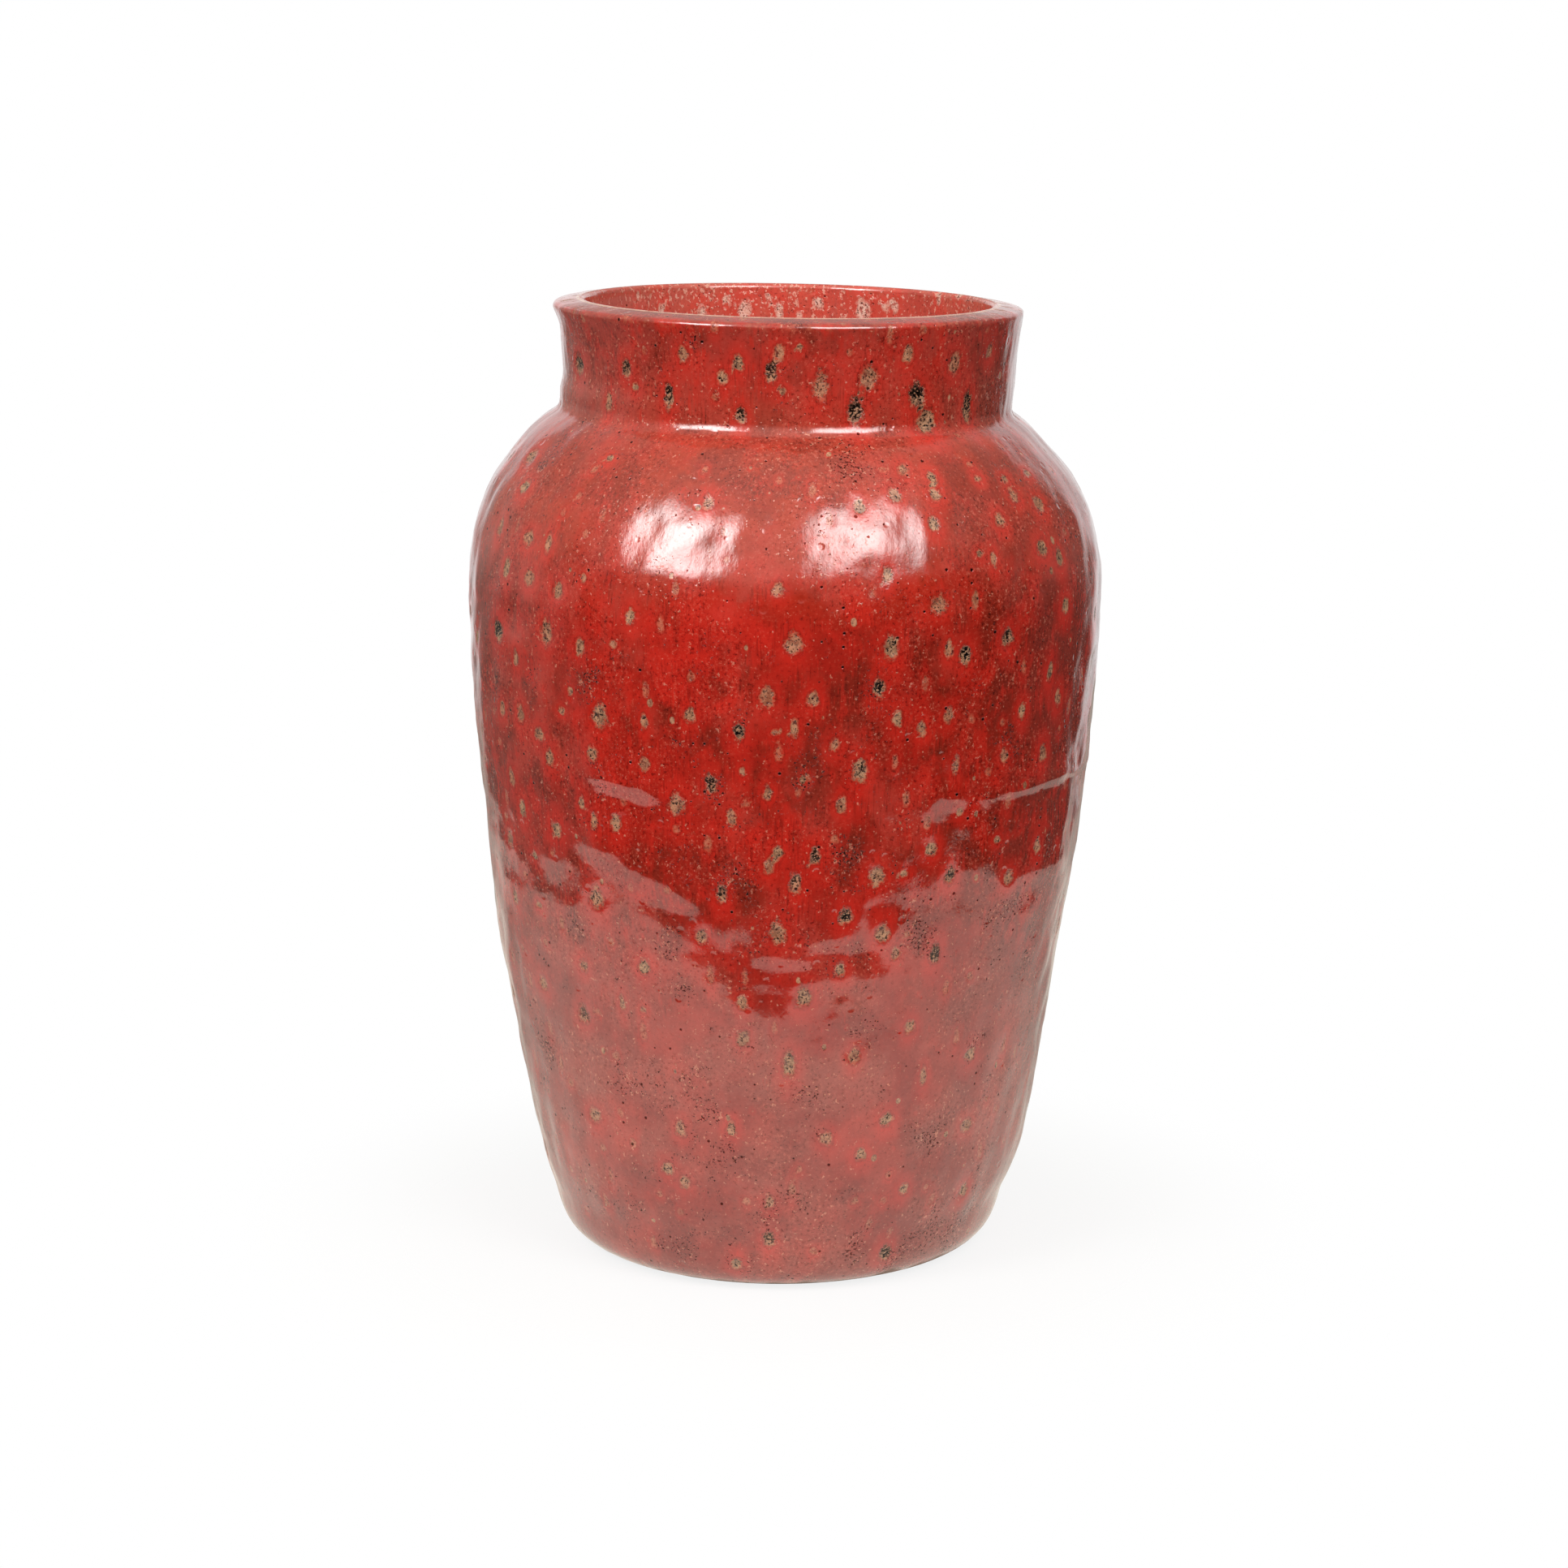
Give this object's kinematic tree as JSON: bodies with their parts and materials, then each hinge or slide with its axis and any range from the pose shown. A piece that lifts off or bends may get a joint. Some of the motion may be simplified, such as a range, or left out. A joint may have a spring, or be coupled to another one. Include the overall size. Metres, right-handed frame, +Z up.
{
  "type": "ceramic vase",
  "caption": "Large round-shouldered stoneware vase with a short wide neck and a mottled glossy red glaze, open at the top, standing on a flat clay foot.",
  "frame": {"origin": "centre of the foot on the table plane", "axes": "+Z up along the axis of the vase, +X to the right in the picture, +Y away from the camera"},
  "size_m": [0.266, 0.2658, 0.401],
  "materials": {
    "stoneware_clay": "matte, fired grey-brown",
    "luting_slip": "matte, fired",
    "red_glaze": "glossy mottled red with beige craters",
    "liner_glaze": "glossy mottled red"
  },
  "bodies": {
    "root": {"base_dish": "stoneware_clay", "base_slip": "luting_slip", "lower_wall": "stoneware_clay", "belly_slip": "luting_slip", "shoulder_wall": "stoneware_clay", "neck_slip": "luting_slip", "neck_collar": "stoneware_clay", "outer_glaze": "red_glaze", "inner_glaze": "liner_glaze"}
  },
  "joints": []
}
